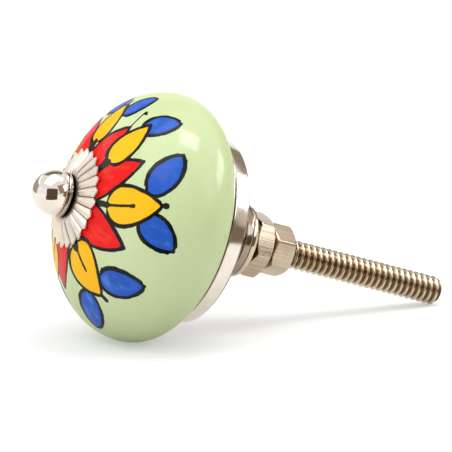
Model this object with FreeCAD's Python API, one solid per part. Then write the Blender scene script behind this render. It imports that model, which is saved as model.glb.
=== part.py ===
"""Painted ceramic cabinet knob on a turned base, with its threaded rod and two nuts.

Millimetres. +Y runs along the rod, away from the ball; +Z is up; the origin is the
centre of the base's foot, which seats on the door.
"""

import FreeCAD
import Part
import math
import os

from FreeCAD import Vector

# Rod
ROD_DIAMETER = 4.76
ROD_REACH = 38.6            # foot of the base to the free end
ROD_END_CHAMFER = 0.55
ROD_CLEARANCE = 0.05        # all round, in every bore that the rod passes
ROD_GRIP = 3.4              # length of rod screwed into the ball
THREAD_PITCH = 1.13
THREAD_MOUTH = 0.12         # countersink of a tapped hole, beyond the thread's crests

# Ceramic body
CERAMIC_DIAMETER = 40.0
CERAMIC_BACK_DEPTH = 6.8    # widest circle to the foot that it stands on
CERAMIC_FOOT_DIAMETER = 31.0
CERAMIC_BACK_POWER = 2.2    # 2 would be an ellipse; more is squarer
CERAMIC_FRONT_SWELL = 13.7  # widest circle to the front pole, before the seat is cut
CERAMIC_SEAT_DIAMETER = 8.0
CERAMIC_BORE = 6.0
CERAMIC_CURVE_STEPS = 9     # spans of the back curve

# Base
BASE_HEIGHT = 9.1           # foot to the face that carries the ceramic
BASE_DIAMETER = 30.6
BASE_FRONT_ROUND = 0.45     # front edge of the rim
BASE_RIM_WIDTH = 2.8        # carrying face to the back of the rim
BASE_RIM_TAPER = 0.4        # how much less the rim's radius is at its back
BASE_RIM_BULGE = 0.12       # rise of the rim's band above a straight cone
BASE_REAR_LIP = 0.3         # narrow chamfer behind the band
BASE_WAIST_DIAMETER = 8.8
BASE_WAIST_HEIGHT = 2.4     # foot to the narrowest circle
BASE_SWEEP_OUT = 0.36       # middle of the hollow sweep: share of the way out to the rim,
BASE_SWEEP_DOWN = 0.30      # and share of the way down to the waist
BASE_FOOT_DIAMETER = 12.2
BASE_FOOT_THICKNESS = 1.3
BASE_FOOT_ROUND = 0.35
BASE_RECESS_DEPTH = 0.5     # turned out of the carrying face, round the rod
BASE_RECESS_DIAMETER = 14.0

# Domed collar washer
COLLAR_DIAMETER = 12.0
COLLAR_CROWN_DIAMETER = 10.2
COLLAR_THICKNESS = 1.2
COLLAR_EDGE = 0.45          # straight part of its rim
ROUND_SHARE = 0.7           # fullness of a rounded shoulder; 0.5 would be a straight bevel

# Nuts: width across flats, height, and the turn of a corner from +X towards +Z
CLAMP_NUT_FLATS = 9.5
CLAMP_NUT_HEIGHT = 3.8
CLAMP_NUT_TURN = 45.9
LOCK_NUT_FLATS = 7.5
LOCK_NUT_HEIGHT = 4.4
LOCK_NUT_TURN = 25.8
NUT_CHAMFER_ANGLE = 30.0
NUT_FACE_SHARE = 0.9        # round face at each end, as a share of the flats

# Fluted washer
FLUTES = 24
FLUTE_TURN = 1.8            # first point, from +X towards +Z
FLUTED_TIP_DIAMETER = 16.0
FLUTED_VALLEY_DIAMETER = 14.8
FLUTED_HUB_DIAMETER = 7.6
FLUTED_SHEET = 0.3
FLUTED_HUB_THICKNESS = 0.45
FLUTED_HUB_RISE = 0.75      # the sprung hub stands this far off the ceramic's seat
FLUTE_HEIGHT = 0.5          # crest above valley at the rim
FLUTE_SHOULDER_REACH = 0.72 # shoulder between valley and crest: share of the way out,
FLUTE_SHOULDER_LIFT = 0.55  # and share of the height
FLUTED_HUB_LAP = 0.25       # how far the skirt runs into the hub
FLUTED_SEAT_GAP = 0.01      # folds of the valleys above the ceramic
FLUTED_KNUCKLE = 0.14       # inner end of the flutes, as a share of hub to valley
FLUTED_KNUCKLE_RISE = 0.6   # crest there, as a share of its height at the rim

# Ball finial
BALL_DIAMETER = 7.3
BALL_RING_DIAMETER = 7.3
BALL_RING_THICKNESS = 0.8
BALL_RING_SETBACK = 0.7     # ball's centre to the front of the ring
BALL_GROOVE_WIDTH = 0.15
BALL_GROOVE_DEPTH = 0.22
BALL_NECK_DIAMETER = 6.0
BALL_NECK_LENGTH = 0.35
BALL_BORE_SPARE = 0.3       # blind hole beyond the rod's end

# Worked out from the sizes above
ROD_RADIUS = ROD_DIAMETER / 2
BORE_RADIUS = ROD_RADIUS + ROD_CLEARANCE
# A nut and the rod's thread meet halfway up their flanks, so both are plain there
MESH_RADIUS = ROD_RADIUS - 0.3248 * THREAD_PITCH
TAPPED_RADIUS = MESH_RADIUS + ROD_CLEARANCE
MOUTH_RADIUS = ROD_RADIUS + THREAD_MOUTH
MOUTH_DEPTH = MOUTH_RADIUS - TAPPED_RADIUS
CERAMIC_RADIUS = CERAMIC_DIAMETER / 2
CERAMIC_FOOT_Y = -BASE_HEIGHT
CERAMIC_WIDEST_Y = CERAMIC_FOOT_Y - CERAMIC_BACK_DEPTH
CERAMIC_SEAT_RADIUS = CERAMIC_SEAT_DIAMETER / 2
CERAMIC_BACK_SWELL = CERAMIC_BACK_DEPTH / (
    1 - (CERAMIC_FOOT_DIAMETER / CERAMIC_DIAMETER) ** CERAMIC_BACK_POWER
) ** (1 / CERAMIC_BACK_POWER)


def front_depth(radius):
    """Distance from the widest circle to the front surface at this radius."""
    return CERAMIC_FRONT_SWELL * math.sqrt(1 - (radius / CERAMIC_RADIUS) ** 2)


def back_radius(depth):
    """Radius of the back surface this far behind the widest circle."""
    share = (depth / CERAMIC_BACK_SWELL) ** CERAMIC_BACK_POWER
    return CERAMIC_RADIUS * (1 - share) ** (1 / CERAMIC_BACK_POWER)


CERAMIC_SEAT_Y = CERAMIC_WIDEST_Y - front_depth(CERAMIC_SEAT_RADIUS)
HUB_BACK_Y = CERAMIC_SEAT_Y - FLUTED_HUB_RISE
HUB_FRONT_Y = HUB_BACK_Y - FLUTED_HUB_THICKNESS
BALL_RING_Y = HUB_FRONT_Y - BALL_NECK_LENGTH
ROD_FRONT_Y = HUB_FRONT_Y - ROD_GRIP
LOCK_NUT_Y = COLLAR_THICKNESS + CLAMP_NUT_HEIGHT
NUTS_END_Y = LOCK_NUT_Y + LOCK_NUT_HEIGHT


def point(radius, y):
    """A point of a turned outline: radius from the axis, and place along it."""
    return Vector(radius, y, 0)


def line(start, end):
    return Part.LineSegment(start, end).toShape()


def arc(start, middle, end):
    return Part.Arc(start, middle, end).toShape()


def polyline(points):
    return [line(a, b) for a, b in zip(points, points[1:])]


def turned(edges):
    """Solid of revolution about the Y axis, from a closed outline."""
    face = Part.Face(Part.Wire(edges))
    solid = face.revolve(Vector(0, 0, 0), Vector(0, 1, 0), 360)
    return solid.Solids[0] if solid.Solids else solid


def bored_cylinder(radius, bore, start_y, end_y):
    """Plain ring between two places on the axis."""
    corners = [
        point(bore, start_y),
        point(radius, start_y),
        point(radius, end_y),
        point(bore, end_y),
        point(bore, start_y),
    ]
    return turned(polyline(corners))


def around_axis(radius, degrees, y):
    """A point at this angle from +X towards +Z."""
    angle = math.radians(degrees)
    return Vector(radius * math.cos(angle), y, radius * math.sin(angle))


def make_threaded_rod():
    """Rod, plain at the thread's crests, and at the mesh line inside the ball and the nuts."""
    cut = ROD_END_CHAMFER
    ramp = ROD_RADIUS - MESH_RADIUS
    corners = [
        point(0, ROD_FRONT_Y),
        point(MESH_RADIUS - cut, ROD_FRONT_Y),
        point(MESH_RADIUS, ROD_FRONT_Y + cut),
        point(MESH_RADIUS, HUB_FRONT_Y - ramp),
        point(ROD_RADIUS, HUB_FRONT_Y),
        point(ROD_RADIUS, COLLAR_THICKNESS),
        point(MESH_RADIUS, COLLAR_THICKNESS + ramp),
        point(MESH_RADIUS, NUTS_END_Y - ramp),
        point(ROD_RADIUS, NUTS_END_Y),
        point(ROD_RADIUS, ROD_REACH - cut),
        point(ROD_RADIUS - cut, ROD_REACH),
        point(0, ROD_REACH),
        point(0, ROD_FRONT_Y),
    ]
    return turned(polyline(corners))


def make_ceramic_body():
    """Bun with an elliptical front and a squarer back, flat at both seats."""
    bore = CERAMIC_BORE / 2
    seat = point(CERAMIC_SEAT_RADIUS, CERAMIC_SEAT_Y)
    widest = point(CERAMIC_RADIUS, CERAMIC_WIDEST_Y)

    ellipse = Part.Ellipse(
        Vector(CERAMIC_RADIUS, CERAMIC_WIDEST_Y, 0),
        Vector(0, CERAMIC_WIDEST_Y - CERAMIC_FRONT_SWELL, 0),
        Vector(0, CERAMIC_WIDEST_Y, 0),
    )
    start, end = sorted([ellipse.parameter(seat), ellipse.parameter(widest)])
    if end - start > math.pi:
        start, end = end, start + 2 * math.pi
    front = Part.ArcOfEllipse(ellipse, start, end).toShape()

    curve = []
    for step in range(CERAMIC_CURVE_STEPS + 1):
        quarter = math.pi / 2 * step / CERAMIC_CURVE_STEPS
        depth = CERAMIC_BACK_DEPTH * math.sin(quarter)
        curve.append(point(back_radius(depth), CERAMIC_WIDEST_Y + depth))
    back_curve = Part.BSplineCurve()
    back_curve.interpolate(Points=curve, InitialTangent=Vector(0, 1, 0),
                           FinalTangent=curve[-1] - curve[-2])
    foot_edge = curve[-1]

    edges = [
        line(point(bore, CERAMIC_SEAT_Y), seat),
        front,
        back_curve.toShape(),
        line(foot_edge, point(bore, CERAMIC_FOOT_Y)),
        line(point(bore, CERAMIC_FOOT_Y), point(bore, CERAMIC_SEAT_Y)),
    ]
    return turned(edges)


def make_base_dish():
    """Turned base: carrying face, banded rim, hollow sweep to the waist, foot."""
    radius = BASE_DIAMETER / 2
    soft = BASE_FRONT_ROUND
    soft_corner = soft * (1 - math.sqrt(0.5))
    band_back = CERAMIC_FOOT_Y + BASE_RIM_WIDTH
    back_radius_of_band = radius - BASE_RIM_TAPER
    band_middle = point(radius - BASE_RIM_TAPER / 2 + BASE_RIM_BULGE,
                        (CERAMIC_FOOT_Y + soft + band_back) / 2)
    waist = point(BASE_WAIST_DIAMETER / 2, -BASE_WAIST_HEIGHT)
    rear_edge = point(back_radius_of_band - BASE_REAR_LIP, band_back + BASE_REAR_LIP)
    foot = BASE_FOOT_DIAMETER / 2
    foot_top = -BASE_FOOT_THICKNESS
    recess_y = CERAMIC_FOOT_Y + BASE_RECESS_DEPTH
    recess = BASE_RECESS_DIAMETER / 2

    sweep_middle = point(waist.x + (rear_edge.x - waist.x) * BASE_SWEEP_OUT,
                         rear_edge.y + (waist.y - rear_edge.y) * BASE_SWEEP_DOWN)
    corner = BASE_FOOT_ROUND * (1 - math.sqrt(0.5))

    edges = polyline([
        point(BORE_RADIUS, recess_y),
        point(recess, recess_y),
        point(recess, CERAMIC_FOOT_Y),
        point(radius - soft, CERAMIC_FOOT_Y),
    ])
    edges.append(arc(point(radius - soft, CERAMIC_FOOT_Y),
                     point(radius - soft_corner, CERAMIC_FOOT_Y + soft_corner),
                     point(radius, CERAMIC_FOOT_Y + soft)))
    edges.append(arc(point(radius, CERAMIC_FOOT_Y + soft), band_middle,
                     point(back_radius_of_band, band_back)))
    edges.append(line(point(back_radius_of_band, band_back), rear_edge))
    edges.append(arc(rear_edge, sweep_middle, waist))
    edges += polyline([
        waist,
        point(foot - BASE_FOOT_ROUND, foot_top),
    ])
    edges.append(arc(point(foot - BASE_FOOT_ROUND, foot_top),
                     point(foot - corner, foot_top + corner),
                     point(foot, foot_top + BASE_FOOT_ROUND)))
    edges.append(line(point(foot, foot_top + BASE_FOOT_ROUND),
                      point(foot, -BASE_FOOT_ROUND)))
    edges.append(arc(point(foot, -BASE_FOOT_ROUND),
                     point(foot - corner, -corner),
                     point(foot - BASE_FOOT_ROUND, 0)))
    edges += polyline([
        point(foot - BASE_FOOT_ROUND, 0),
        point(BORE_RADIUS, 0),
        point(BORE_RADIUS, recess_y),
    ])
    return turned(edges)


def make_collar_washer():
    """Washer with a straight rim and a domed back that narrows to the nut."""
    radius = COLLAR_DIAMETER / 2
    crown = COLLAR_CROWN_DIAMETER / 2
    dome_middle = point(crown + (radius - crown) * ROUND_SHARE,
                        COLLAR_EDGE + (COLLAR_THICKNESS - COLLAR_EDGE) * ROUND_SHARE)
    edges = polyline([
        point(BORE_RADIUS, COLLAR_THICKNESS),
        point(BORE_RADIUS, 0),
        point(radius, 0),
        point(radius, COLLAR_EDGE),
    ])
    edges.append(arc(point(radius, COLLAR_EDGE), dome_middle,
                     point(crown, COLLAR_THICKNESS)))
    edges.append(line(point(crown, COLLAR_THICKNESS),
                      point(BORE_RADIUS, COLLAR_THICKNESS)))
    return turned(edges)


def make_hex_nut(flats, height, turn, front_y):
    """Hexagonal nut with both ends chamfered and its tapped hole countersunk."""
    corner_radius = flats / math.sqrt(3)
    corners = [around_axis(corner_radius, turn + 60 * k, front_y) for k in range(7)]
    prism = Part.Face(Part.makePolygon(corners)).extrude(Vector(0, height, 0))

    face_radius = flats / 2 * NUT_FACE_SHARE
    past = corner_radius + 1
    drop = (past - face_radius) * math.tan(math.radians(NUT_CHAMFER_ANGLE))
    back_y = front_y + height
    envelope = turned(polyline([
        point(MOUTH_RADIUS, front_y),
        point(face_radius, front_y),
        point(past, front_y + drop),
        point(past, back_y - drop),
        point(face_radius, back_y),
        point(MOUTH_RADIUS, back_y),
        point(TAPPED_RADIUS, back_y - MOUTH_DEPTH),
        point(TAPPED_RADIUS, front_y + MOUTH_DEPTH),
        point(MOUTH_RADIUS, front_y),
    ]))
    return prism.common(envelope).Solids[0]


def make_clamp_nut():
    return make_hex_nut(CLAMP_NUT_FLATS, CLAMP_NUT_HEIGHT, CLAMP_NUT_TURN,
                        COLLAR_THICKNESS)


def make_lock_nut():
    return make_hex_nut(LOCK_NUT_FLATS, LOCK_NUT_HEIGHT, LOCK_NUT_TURN, LOCK_NUT_Y)


def flute_outline():
    """Rim of the fluted washer: radius, angle and lift of each fold, all round.

    Each flute rises from a valley over a shoulder to its pointed crest.
    """
    tip = FLUTED_TIP_DIAMETER / 2
    valley = FLUTED_VALLEY_DIAMETER / 2
    shoulder = valley + (tip - valley) * FLUTE_SHOULDER_REACH
    pitch = 360 / FLUTES
    folds = []
    for flute in range(FLUTES):
        middle = FLUTE_TURN + flute * pitch
        folds.append((valley, middle - pitch / 2, 0))
        folds.append((shoulder, middle - pitch / 4, FLUTE_SHOULDER_LIFT))
        folds.append((tip, middle, 1))
        folds.append((shoulder, middle + pitch / 4, FLUTE_SHOULDER_LIFT))
    return folds


def make_fluted_washer():
    """Pressed flower washer: a pleated cone that seats by its rim, and a flat hub."""
    hub = FLUTED_HUB_DIAMETER / 2
    valley = FLUTED_VALLEY_DIAMETER / 2
    root = hub - FLUTED_HUB_LAP
    knuckle = hub + (valley - hub) * FLUTED_KNUCKLE
    root_y = HUB_FRONT_Y + (FLUTED_HUB_THICKNESS - FLUTED_SHEET) / 2
    rim_y = CERAMIC_WIDEST_Y - front_depth(valley) - FLUTED_SEAT_GAP - FLUTED_SHEET
    knuckle_y = root_y + (rim_y - root_y) * FLUTED_KNUCKLE
    sheet = Vector(0, FLUTED_SHEET, 0)

    rings = [[], [], []]
    for radius, angle, lift in flute_outline():
        rise = FLUTE_HEIGHT * lift
        rings[0].append(around_axis(root, angle, root_y))
        rings[1].append(around_axis(knuckle, angle, knuckle_y - rise * FLUTED_KNUCKLE_RISE))
        rings[2].append(around_axis(radius, angle, rim_y - rise))

    def patch(*corners):
        return Part.Face(Part.makePolygon(list(corners) + [corners[0]]))

    faces = []
    count = len(rings[0])
    for k in range(count):
        after = (k + 1) % count
        for near, far in zip(rings, rings[1:]):
            for shift in (Vector(0, 0, 0), sheet):
                a, b = near[k] + shift, near[after] + shift
                c, d = far[k] + shift, far[after] + shift
                faces.append(patch(a, c, d))
                faces.append(patch(a, d, b))
        for ring in (rings[0], rings[-1]):
            a, b = ring[k], ring[after]
            faces.append(patch(a, b, b + sheet, a + sheet))
    skirt = Part.Solid(Part.Shell(faces))
    if skirt.Volume < 0:
        skirt.reverse()

    plate = bored_cylinder(hub, BORE_RADIUS, HUB_FRONT_Y, HUB_BACK_Y)
    washer = skirt.fuse(plate)
    return washer.Solids[0]


def make_ball_finial():
    """Ball head on a raised ring, with a short neck and a blind hole for the rod."""
    ball = BALL_DIAMETER / 2
    ring = BALL_RING_DIAMETER / 2
    neck = BALL_NECK_DIAMETER / 2
    ring_front = BALL_RING_Y - BALL_RING_THICKNESS
    ring_middle = BALL_RING_Y - BALL_RING_THICKNESS / 2
    centre_y = ring_front - BALL_RING_SETBACK
    pole_y = centre_y - ball
    side = ball * math.sqrt(0.5)
    lip_y = ring_front - BALL_GROOVE_WIDTH
    lip_turn = math.asin((lip_y - centre_y) / ball)
    lip = ball * math.cos(lip_turn)
    groove = lip - BALL_GROOVE_DEPTH
    hole_end = ROD_FRONT_Y - BALL_BORE_SPARE
    drill_tip = hole_end - TAPPED_RADIUS * 0.3

    edges = [
        arc(point(0, pole_y), point(side, centre_y - side), point(ball, centre_y)),
        arc(point(ball, centre_y),
            point(ball * math.cos(lip_turn / 2), centre_y + ball * math.sin(lip_turn / 2)),
            point(lip, lip_y)),
        line(point(lip, lip_y), point(groove, ring_front)),
        arc(point(groove, ring_front), point(ring, ring_middle),
            point(groove, BALL_RING_Y)),
    ]
    edges += polyline([
        point(groove, BALL_RING_Y),
        point(neck, BALL_RING_Y),
        point(neck, HUB_FRONT_Y),
        point(MOUTH_RADIUS, HUB_FRONT_Y),
        point(TAPPED_RADIUS, HUB_FRONT_Y - MOUTH_DEPTH),
        point(TAPPED_RADIUS, hole_end),
        point(0, drill_tip),
        point(0, pole_y),
    ])
    return turned(edges)


PIECES = {
    "ball_finial": make_ball_finial,
    "fluted_washer": make_fluted_washer,
    "ceramic_body": make_ceramic_body,
    "base_dish": make_base_dish,
    "collar_washer": make_collar_washer,
    "clamp_nut": make_clamp_nut,
    "lock_nut": make_lock_nut,
    "threaded_rod": make_threaded_rod,
}


def main():
    os.makedirs("parts", exist_ok=True)
    for name, make in PIECES.items():
        make().exportStep(f"parts/{name}.step")


main()
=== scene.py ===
"""Painted ceramic cabinet knob: its looks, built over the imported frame.

Laid out as an add-on and run as a script. +Y runs along the rod, away from the ball, and
+Z is up. Outlines and other numbers in the functions are millimetres, which MM turns into
Blender's metres; the properties are in metres.
"""

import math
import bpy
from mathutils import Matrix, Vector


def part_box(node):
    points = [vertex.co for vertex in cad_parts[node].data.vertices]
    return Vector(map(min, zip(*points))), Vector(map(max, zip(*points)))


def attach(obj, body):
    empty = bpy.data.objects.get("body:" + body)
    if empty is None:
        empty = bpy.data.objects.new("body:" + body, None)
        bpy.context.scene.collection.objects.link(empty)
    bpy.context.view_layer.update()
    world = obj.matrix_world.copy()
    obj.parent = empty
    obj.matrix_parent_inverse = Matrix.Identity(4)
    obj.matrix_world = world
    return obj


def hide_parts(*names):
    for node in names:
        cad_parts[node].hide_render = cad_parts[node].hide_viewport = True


bl_info = {
    "name": "Painted ceramic knob",
    "version": (1, 0, 0),
    "blender": (4, 5, 0),
    "location": "3D View > Sidebar > Knob",
    "description": "Builds a painted ceramic cabinet knob with nickel fittings",
    "category": "Add Mesh",
}

import bpy
from bpy.props import FloatProperty, FloatVectorProperty, IntProperty, PointerProperty
from bpy.types import Operator, Panel, PropertyGroup
from mathutils import Matrix, Vector

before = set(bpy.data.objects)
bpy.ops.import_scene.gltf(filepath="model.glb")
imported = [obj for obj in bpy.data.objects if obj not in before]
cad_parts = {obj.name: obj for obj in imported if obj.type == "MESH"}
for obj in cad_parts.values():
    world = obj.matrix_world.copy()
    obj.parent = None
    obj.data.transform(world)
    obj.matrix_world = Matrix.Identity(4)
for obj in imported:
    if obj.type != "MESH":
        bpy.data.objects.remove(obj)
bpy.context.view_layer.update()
MM = 0.001
BODY = "root"
# Radii in millimetres: holes that the rod passes through, and tapped ones
CLEAR_HOLE = 2.43
TAPPED_HOLE = 2.09


def ends(node):
    """First and last place of a node along the rod's axis, in millimetres."""
    low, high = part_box(node)
    return low[1] / MM, high[1] / MM


def widest(node):
    """Largest radius of a node from the rod's axis, in millimetres."""
    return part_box(node)[1][0] / MM


# Settings

def length_setting(name, description, millimetres):
    """Length that a user can change."""
    return FloatProperty(name=name, description=description, default=millimetres * MM,
                         unit="LENGTH")


def angle_setting(name, description, degrees):
    """Angle that a user can change."""
    return FloatProperty(name=name, description=description,
                         default=math.radians(degrees), subtype="ANGLE")


def colour_setting(name, description, default):
    """Colour that a user can change."""
    return FloatVectorProperty(name=name, description=description, default=default,
                               subtype="COLOR", size=3)


class KnobSizes(PropertyGroup):
    """Sizes of the pieces."""

    front_swell: length_setting("Front swell", "Widest circle of the bun to its front pole", 13.7)
    back_depth: length_setting("Back depth", "Widest circle of the bun to its foot", 6.8)
    foot_radius: length_setting(
        "Foot radius", "Radius of the bun where it stands on the base", 15.5)
    back_power: FloatProperty(
        name="Back fullness", description="2 is an ellipse, more is squarer",
        default=2.2)
    ball_radius: length_setting("Ball radius", "Radius of the polished ball", 3.65)
    flutes: IntProperty(
        name="Flutes", description="Number of flutes round the flower washer",
        default=24)
    flute_turn: angle_setting("Flute turn", "Direction of the first point", 1.8)
    flute_height: length_setting("Flute height", "Crest of a flute above its valleys", 0.36)
    sheet: length_setting("Sheet", "Thickness of the flower washer", 0.22)
    clamp_nut_flats: length_setting("Clamp nut", "Width of the larger nut across its flats", 9.5)
    clamp_nut_turn: angle_setting("Clamp nut turn", "Direction of a corner of the larger nut", 45.9)
    lock_nut_flats: length_setting("Lock nut", "Width of the smaller nut across its flats", 7.5)
    lock_nut_turn: angle_setting("Lock nut turn", "Direction of a corner of the smaller nut", 25.8)
    thread_pitch: length_setting("Thread pitch", "Crest to crest", 1.13)
    thread_depth: length_setting("Thread depth", "Crest to root", 0.6)


class KnobPaint(PropertyGroup):
    """Colours of the glaze and the painted motif."""

    glaze: colour_setting("Glaze", "Light green glaze", (0.62, 0.71, 0.41))
    glaze_deep: colour_setting("Deep glaze", "Glaze where it lies thicker", (0.57, 0.67, 0.345))
    red: colour_setting("Red", "Red petals", (0.78, 0.008, 0.006))
    red_thin: colour_setting(
        "Thin red", "Red petals where the brush left less", (0.90, 0.035, 0.02))
    yellow: colour_setting("Yellow", "Yellow petals", (0.95, 0.51, 0.008))
    amber: colour_setting("Amber", "Yellow petals near their outline", (0.88, 0.38, 0.01))
    blue: colour_setting("Blue", "Blue leaves", (0.02, 0.10, 0.50))
    blue_thin: colour_setting(
        "Thin blue", "Blue leaves where the brush left less", (0.09, 0.22, 0.70))
    ink: colour_setting("Ink", "Outlines", (0.006, 0.007, 0.010))
    outline: length_setting("Outline", "Half the width of an outline", 0.31)


class KnobMetal(PropertyGroup):
    """Colours of the nickel plate."""

    polished: colour_setting("Polished", "Nickel of the ball and the base", (0.82, 0.745, 0.665))
    satin: colour_setting("Satin", "Soft nickel of the flower washer", (0.84, 0.735, 0.61))
    warm: colour_setting(
        "Warm", "Warmer nickel of the rod and the domed washer", (0.64, 0.535, 0.405))
    drawn: colour_setting("Drawn", "Drawn nickel of the nuts", (0.66, 0.53, 0.385))
    # The next two colours are painted shade in gaps, hollows, turned corners and thread roots; the
    # first also darkens the real tool lines on the washer and nuts
    gap_shade: colour_setting("Gap shade", "Darkening in gaps and folds", (0.03, 0.02, 0.012))
    shade_and_lines: colour_setting(
        "Corner shade", "Darkening in turned corners and thread roots", (0.13, 0.072, 0.028))


class KnobStage(PropertyGroup):
    """Floor, light and camera."""

    floor_slope: angle_setting(
        "Floor slope", "Slope of the floor that the loose knob lies on", 18.476)
    floor_drop: length_setting("Floor drop", "Floor below the origin, square to the floor", 14.315)
    camera_swing: angle_setting("Camera swing", "Direction of the camera round the knob", -24.94)
    camera_rise: angle_setting("Camera rise", "Camera above the floor", 10.40)
    camera_roll: angle_setting(
        "Camera roll", "Turn of the camera about its own line of sight", -0.96)
    camera_distance: FloatProperty(
        name="Camera distance", description="Camera to the middle of the picture",
        default=0.45, unit="LENGTH")
    camera_lens: FloatProperty(
        name="Lens", description="Focal length in millimetres", default=224.95)
    surround: FloatProperty(
        name="Surround", description="Light from all round on matt surfaces",
        default=0.87)


# Meshes

def linked(name, data):
    """New object of the scene that shows this data."""
    item = bpy.data.objects.new(name, data)
    bpy.context.scene.collection.objects.link(item)
    return item


def finish_mesh(name, points, faces, sharp_degrees=32.0):
    """Object from points in millimetres, smooth but for its sharp edges."""
    mesh = bpy.data.meshes.new(name)
    mesh.from_pydata([(x * MM, y * MM, z * MM) for x, y, z in points], [], faces)
    mesh.validate()
    mesh.polygons.foreach_set("use_smooth", [True] * len(mesh.polygons))
    mesh.set_sharp_from_angle(angle=math.radians(sharp_degrees))
    mesh.update()
    return linked(name, mesh)


def stitch(rings):
    """Faces between rings of point numbers. A ring of one point is a pole."""
    faces = []
    for near, far in zip(rings, rings[1:]):
        count = max(len(near), len(far))
        for k in range(count):
            after = (k + 1) % count
            if len(near) == 1:
                faces.append((near[0], far[k], far[after]))
            elif len(far) == 1:
                faces.append((near[k], far[0], near[after]))
            else:
                faces.append((near[k], far[k], far[after], near[after]))
    return faces


def turned(name, outline, segments=192, closed=True, sharp_degrees=32.0):
    """Turned piece. outline is radius and place, run so that the solid is on its left."""
    points = []
    rings = []
    for radius, y in outline:
        start = len(points)
        if radius < 1e-6:
            points.append((0.0, y, 0.0))
            rings.append([start])
            continue
        for k in range(segments):
            angle = 2 * math.pi * k / segments
            points.append((radius * math.cos(angle), y, radius * math.sin(angle)))
        rings.append(list(range(start, start + segments)))
    if closed:
        rings.append(rings[0])
    return finish_mesh(name, points, stitch(rings), sharp_degrees)


def softened(corners, steps=4, closed=True):
    """Outline with rounded corners. Each corner is radius, place and rounding."""
    result = []
    count = len(corners)
    for k, (radius, y, rounding) in enumerate(corners):
        here = Vector((radius, y))
        inner = closed or 0 < k < count - 1
        if rounding <= 0 or not inner:
            result.append((radius, y))
            continue
        before = Vector(corners[k - 1][:2]) - here
        after = Vector(corners[(k + 1) % count][:2]) - here
        turn = before.angle(after)
        reach = rounding / math.tan(turn / 2)
        reach = min(reach, 0.45 * before.length, 0.45 * after.length)
        start = here + before.normalized() * reach
        end = here + after.normalized() * reach
        for step in range(steps + 1):
            t = step / steps
            p = start * (1 - t) ** 2 + here * 2 * t * (1 - t) + end * t ** 2
            result.append((p.x, p.y))
    return result


def arc_through(start, middle, end, steps):
    """Points of the arc through three points, both ends included."""
    (ax, ay), (bx, by), (cx, cy) = start, middle, end
    d = 2 * (ax * (by - cy) + bx * (cy - ay) + cx * (ay - by))
    a2, b2, c2 = ax * ax + ay * ay, bx * bx + by * by, cx * cx + cy * cy
    ux = (a2 * (by - cy) + b2 * (cy - ay) + c2 * (ay - by)) / d
    uy = (a2 * (cx - bx) + b2 * (ax - cx) + c2 * (bx - ax)) / d
    first = math.atan2(ay - uy, ax - ux)
    mid = (math.atan2(by - uy, bx - ux) - first) % (2 * math.pi)
    last = (math.atan2(cy - uy, cx - ux) - first) % (2 * math.pi)
    if mid > last:
        last -= 2 * math.pi
    radius = math.hypot(ax - ux, ay - uy)
    angles = [first + last * step / steps for step in range(steps + 1)]
    return [(ux + radius * math.cos(a), uy + radius * math.sin(a)) for a in angles]


def keep_values(piece, name, values):
    """Keep a number on each point."""
    attribute = piece.data.attributes.new(name, "FLOAT", "POINT")
    attribute.data.foreach_set("value", values)


def keep_vectors(piece, name, values):
    """Keep three numbers on each point. values is one flat list."""
    attribute = piece.data.attributes.new(name, "FLOAT_VECTOR", "POINT")
    attribute.data.foreach_set("vector", values)


def place(piece, node, material):
    """Put a finished piece where its node is."""
    piece.data.materials.append(material)
    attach(piece, BODY)
    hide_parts(node)


# Nodes

class Tree:
    """Short calls to add and join the nodes of one shader tree."""

    def __init__(self, tree):
        self.tree = tree

    def add(self, kind, **settings):
        node = self.tree.nodes.new("ShaderNode" + kind)
        for key, value in settings.items():
            setattr(node, key, value)
        return node

    def feed(self, socket, value):
        """Join a socket to this one, or write a plain value into it."""
        if isinstance(value, bpy.types.NodeSocket):
            self.tree.links.new(value, socket)
        elif isinstance(socket, bpy.types.NodeSocketColor):
            socket.default_value = (*value[:3], 1.0)
        else:
            socket.default_value = value

    def math(self, operation, first, second=0.0, third=0.0):
        node = self.add("Math", operation=operation)
        for socket, value in zip(node.inputs, (first, second, third)):
            self.feed(socket, value)
        return node.outputs[0]

    def remap(self, value, low, high, to_low=0.0, to_high=1.0):
        """Smooth step from one range to another."""
        node = self.add("MapRange", interpolation_type="SMOOTHSTEP")
        for name, item in (("Value", value), ("From Min", low), ("From Max", high),
                           ("To Min", to_low), ("To Max", to_high)):
            self.feed(node.inputs[name], item)
        return node.outputs[0]

    def mix(self, factor, first, second):
        """Colour between two colours."""
        node = self.add("Mix", data_type="RGBA")
        self.feed(node.inputs[0], factor)
        self.feed(node.inputs[6], first)
        self.feed(node.inputs[7], second)
        return node.outputs[2]

    def noise(self, vector, scale, detail=2.0, roughness=0.5):
        node = self.add("TexNoise")
        self.feed(node.inputs["Vector"], vector)
        node.inputs["Scale"].default_value = scale
        node.inputs["Detail"].default_value = detail
        node.inputs["Roughness"].default_value = roughness
        return node.outputs[0]

    def stretch(self, vector, scale):
        """Vector times another, part by part."""
        node = self.add("VectorMath", operation="MULTIPLY")
        self.feed(node.inputs[0], vector)
        node.inputs[1].default_value = scale
        return node.outputs[0]

    def bump(self, height, distance, strength=1.0):
        node = self.add("Bump")
        node.inputs["Strength"].default_value = strength
        node.inputs["Distance"].default_value = distance
        self.feed(node.inputs["Height"], height)
        return node.outputs[0]

    def group(self, tree, **inputs):
        node = self.add("Group", node_tree=tree)
        for name, value in inputs.items():
            self.feed(node.inputs[name], value)
        return node

    def choose(self, factor, first, second):
        """Shader between two shaders."""
        node = self.add("MixShader")
        for socket, value in zip(node.inputs, (factor, first, second)):
            self.feed(socket, value)
        return node.outputs[0]


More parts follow.
